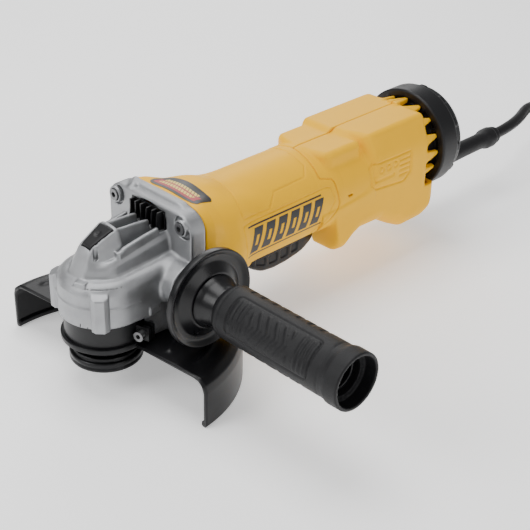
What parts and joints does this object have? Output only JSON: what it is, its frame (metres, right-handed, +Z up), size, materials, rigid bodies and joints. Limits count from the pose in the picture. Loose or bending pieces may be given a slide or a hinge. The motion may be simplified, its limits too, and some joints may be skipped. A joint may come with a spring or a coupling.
{
  "type": "angle grinder",
  "caption": "Corded angle grinder with a paddle switch, bevel-gear head, adjustable wheel guard and screw-on side handle.",
  "frame": {"origin": "centre of the spindle's free end face, on the spindle axis", "axes": "+X back along the motor axis towards the cord, +Z up along the spindle into the gear case, -Y towards the side handle"},
  "size_m": [0.668, 0.2533, 0.111],
  "materials": {
    "cast_case": "satin die-cast, fine grain",
    "zinc_screws": "zinc plated",
    "black_steel": "black oxide",
    "bearing_steel": "polished",
    "seal_rubber": "matte",
    "spindle_steel": "ground",
    "gear_steel": "machined",
    "nut_steel": "black oxide",
    "black_plastic": "moulded",
    "spring_steel": "drawn wire",
    "lamination": "stacked",
    "copper_wire": "enamelled",
    "commutator_copper": "turned",
    "fan_plastic": "moulded",
    "brass_holder": "folded",
    "carbon": "pressed carbon",
    "yellow_housing": "fine moulded texture",
    "cap_plastic": "fine moulded texture",
    "paddle_plastic": "satin",
    "potting": "potted",
    "wire_insulation": "smooth",
    "relief_rubber": "matte",
    "cord_rubber": "matte",
    "plug_brass": "plain",
    "handle_gloss": "semi-gloss",
    "grip_rubber": "soft matte",
    "guard_paint": "semi-gloss black",
    "label_film": "printed film"
  },
  "bodies": {
    "housing": {"gear_case": "cast_case", "gear_case_screws": "zinc_screws", "bearing_retainer": "black_steel", "retainer_screws": "zinc_screws", "spindle_bearing": "bearing_steel", "spindle_seal": "seal_rubber", "spindle_top_bearing": "bearing_steel", "lock_spring": "spring_steel", "armature_front_bearing": "bearing_steel", "armature_rear_bearing": "bearing_steel", "bearing_sleeve": "seal_rubber", "stator_core": "lamination", "field_windings": "copper_wire", "brush_holders": "brass_holder", "carbon_brushes": "carbon", "brush_springs": "spring_steel", "fan_baffle": "black_plastic", "motor_housing": "yellow_housing", "rear_housing_left": "yellow_housing", "rear_housing_right": "yellow_housing", "housing_screws": "zinc_screws", "rear_cap": "cap_plastic", "switch_body": "black_plastic", "switch_spring": "spring_steel", "control_module": "potting", "lead_wires": "wire_insulation", "strain_relief": "relief_rubber", "cord_clamp": "black_plastic", "cord_clamp_screws": "zinc_screws", "cord_inside": "cord_rubber", "power_cord": "cord_rubber", "cord_coil": "cord_rubber", "plug_body": "cord_rubber", "plug_blades": "plug_brass", "side_handle_flange": "handle_gloss", "side_handle_core": "handle_gloss", "side_handle_grip": "grip_rubber", "side_handle_stud": "spindle_steel", "top_label": "label_film"},
    "spindle": {"spindle": "spindle_steel", "ring_gear": "gear_steel", "retaining_ring": "black_steel", "backing_flange": "black_steel", "clamp_nut": "nut_steel"},
    "armature": {"armature_shaft": "spindle_steel", "armature_core": "lamination", "armature_windings": "copper_wire", "commutator": "commutator_copper", "cooling_fan": "fan_plastic", "pinion": "gear_steel", "pinion_nut": "zinc_screws"},
    "guard": {"guard_shell": "guard_paint", "guard_collar": "guard_paint", "guard_clamp_screw": "zinc_screws"},
    "lock": {"lock_button": "black_plastic", "lock_pin": "spindle_steel"},
    "paddle": {"paddle_lever": "paddle_plastic", "paddle_pins": "spindle_steel"},
    "lock_off": {"lock_off_lever": "black_plastic"},
    "plunger": {"switch_plunger": "black_plastic"}
  },
  "joints": [
    {"name": "armature_spin", "type": "hinge", "parent": "housing", "child": "armature", "pos_m": [0.02, 0, 0.06], "axis": [1, 0, 0], "continuous": true},
    {"name": "spindle_spin", "type": "hinge", "parent": "housing", "child": "spindle", "pos_m": [0, 0, 0.03], "axis": [0, 0, 1], "continuous": true},
    {"name": "guard_turn", "type": "hinge", "parent": "housing", "child": "guard", "pos_m": [0, 0, 0.03], "axis": [0, 0, 1], "range_deg": [-120, 60]},
    {"name": "lock_button_press", "type": "slide", "parent": "housing", "child": "lock", "axis": [0, 0, -1], "range_m": [0, 0.003], "stiffness_N_per_m": 900, "springref_m": -0.001, "deforming": ["lock_spring"]},
    {"name": "paddle_squeeze", "type": "hinge", "parent": "housing", "child": "paddle", "pos_m": [0.175, 0, 0.033], "axis": [0, 1, 0], "range_deg": [0, 5], "stiffness_Nm_per_rad": 3, "springref_deg": -2.86},
    {"name": "lock_off_tilt", "type": "hinge", "parent": "paddle", "child": "lock_off", "pos_m": [0.152, 0, 0.028], "axis": [0, 1, 0], "range_deg": [0, 20], "stiffness_Nm_per_rad": 0.02, "springref_deg": -11.46},
    {"name": "plunger_slide", "type": "slide", "parent": "housing", "child": "plunger", "axis": [0, 0, 1], "range_m": [0, 0.0036], "deforming": ["switch_spring"]}
  ],
  "couplings": [
    {"joint": "spindle_spin", "follows": "armature_spin", "ratio": 0.29268},
    {"joint": "plunger_slide", "follows": "paddle_squeeze", "m_per_rad": 0.04}
  ]
}
